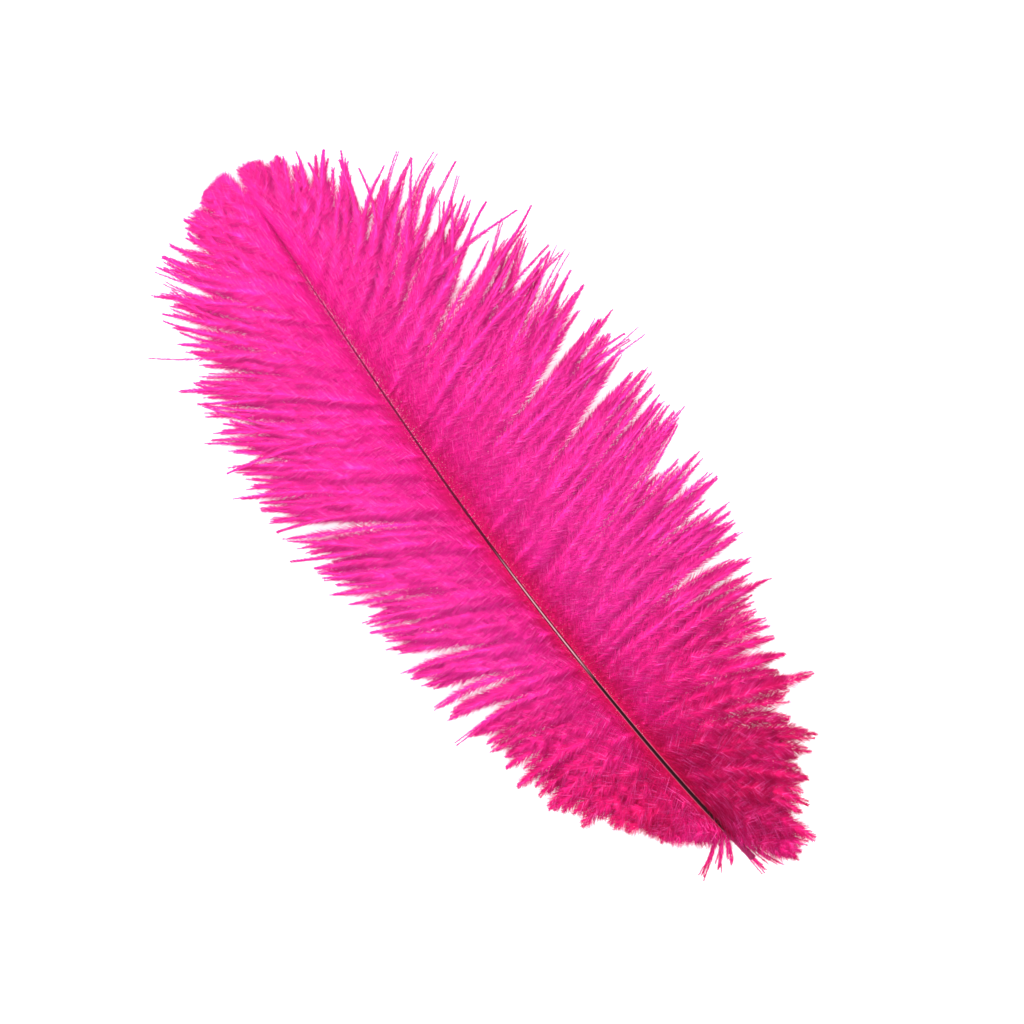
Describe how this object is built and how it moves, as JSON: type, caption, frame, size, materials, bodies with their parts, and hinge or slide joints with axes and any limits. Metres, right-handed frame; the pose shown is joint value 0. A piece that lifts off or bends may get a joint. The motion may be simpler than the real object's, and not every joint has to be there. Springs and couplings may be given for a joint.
{
  "type": "ostrich plume",
  "caption": "Dyed ostrich plume with a bare quill, a flexing shaft, loose left and right vanes in pointed locks and a rounded tip.",
  "frame": {"origin": "centre of the quill's flat cut end", "axes": "+X along the shaft from the quill to the tip, +Y towards the left vane, +Z out of the face that is shown, away from the surface the plume lies on"},
  "size_m": [0.2962, 0.1284, 0.0106],
  "materials": {
    "dyed_barbs": "soft dyed barbs, velvety sheen",
    "dyed_down": "fluffy dyed down, matte",
    "dyed_keratin": "horny shaft, dark dye, satin gloss",
    "pith": "dry spongy pith, matte"
  },
  "bodies": {
    "quill_and_base": {"quill": "dyed_keratin", "pulp_cap_1": "pith", "pulp_cap_2": "pith", "shaft_base": "dyed_keratin", "pith_base": "pith", "down_left": "dyed_down", "down_right": "dyed_down", "down_under": "dyed_down", "barbs_left_base_2": "dyed_barbs", "barbs_left_base_3": "dyed_barbs", "barbs_left_base_4": "dyed_barbs", "barbs_right_base_2": "dyed_barbs", "barbs_right_base_3": "dyed_barbs", "barbs_right_base_4": "dyed_barbs"},
    "lower_section": {"shaft_lower": "dyed_keratin", "barbs_left_lower_1": "dyed_barbs", "barbs_left_lower_2": "dyed_barbs", "barbs_left_lower_3": "dyed_barbs", "barbs_right_lower_1": "dyed_barbs", "barbs_right_lower_2": "dyed_barbs", "barbs_right_lower_3": "dyed_barbs"},
    "middle_section": {"shaft_middle": "dyed_keratin", "barbs_left_middle_1": "dyed_barbs", "barbs_left_middle_2": "dyed_barbs", "barbs_left_middle_3": "dyed_barbs", "barbs_right_middle_1": "dyed_barbs", "barbs_right_middle_2": "dyed_barbs", "barbs_right_middle_3": "dyed_barbs"},
    "upper_section": {"shaft_upper": "dyed_keratin", "barbs_left_upper_1": "dyed_barbs", "barbs_left_upper_2": "dyed_barbs", "barbs_left_upper_3": "dyed_barbs", "barbs_right_upper_1": "dyed_barbs", "barbs_right_upper_2": "dyed_barbs", "barbs_right_upper_3": "dyed_barbs"},
    "tip_section": {"shaft_tip": "dyed_keratin", "barbs_left_tip_1": "dyed_barbs", "barbs_left_tip_2": "dyed_barbs", "barbs_left_tip_3": "dyed_barbs", "barbs_right_tip_1": "dyed_barbs", "barbs_right_tip_2": "dyed_barbs", "barbs_right_tip_3": "dyed_barbs"}
  },
  "joints": [
    {"name": "flex_lower", "type": "hinge", "parent": "quill_and_base", "child": "lower_section", "pos_m": [0.07228, 0.00571, 0.00545], "axis": [0, -1, 0], "range_deg": [-10, 10], "stiffness_Nm_per_rad": 0.03},
    {"name": "flex_middle", "type": "hinge", "parent": "lower_section", "child": "middle_section", "pos_m": [0.13066, 0.00659, 0.00779], "axis": [0, -1, 0], "range_deg": [-15, 15], "stiffness_Nm_per_rad": 0.01},
    {"name": "flex_upper", "type": "hinge", "parent": "middle_section", "child": "upper_section", "pos_m": [0.18348, 0.00515, 0.00758], "axis": [0, -1, 0], "range_deg": [-20, 20], "stiffness_Nm_per_rad": 0.004},
    {"name": "flex_tip", "type": "hinge", "parent": "upper_section", "child": "tip_section", "pos_m": [0.23074, 0.00265, 0.00538], "axis": [0, -1, 0], "range_deg": [-30, 30], "stiffness_Nm_per_rad": 0.001}
  ]
}
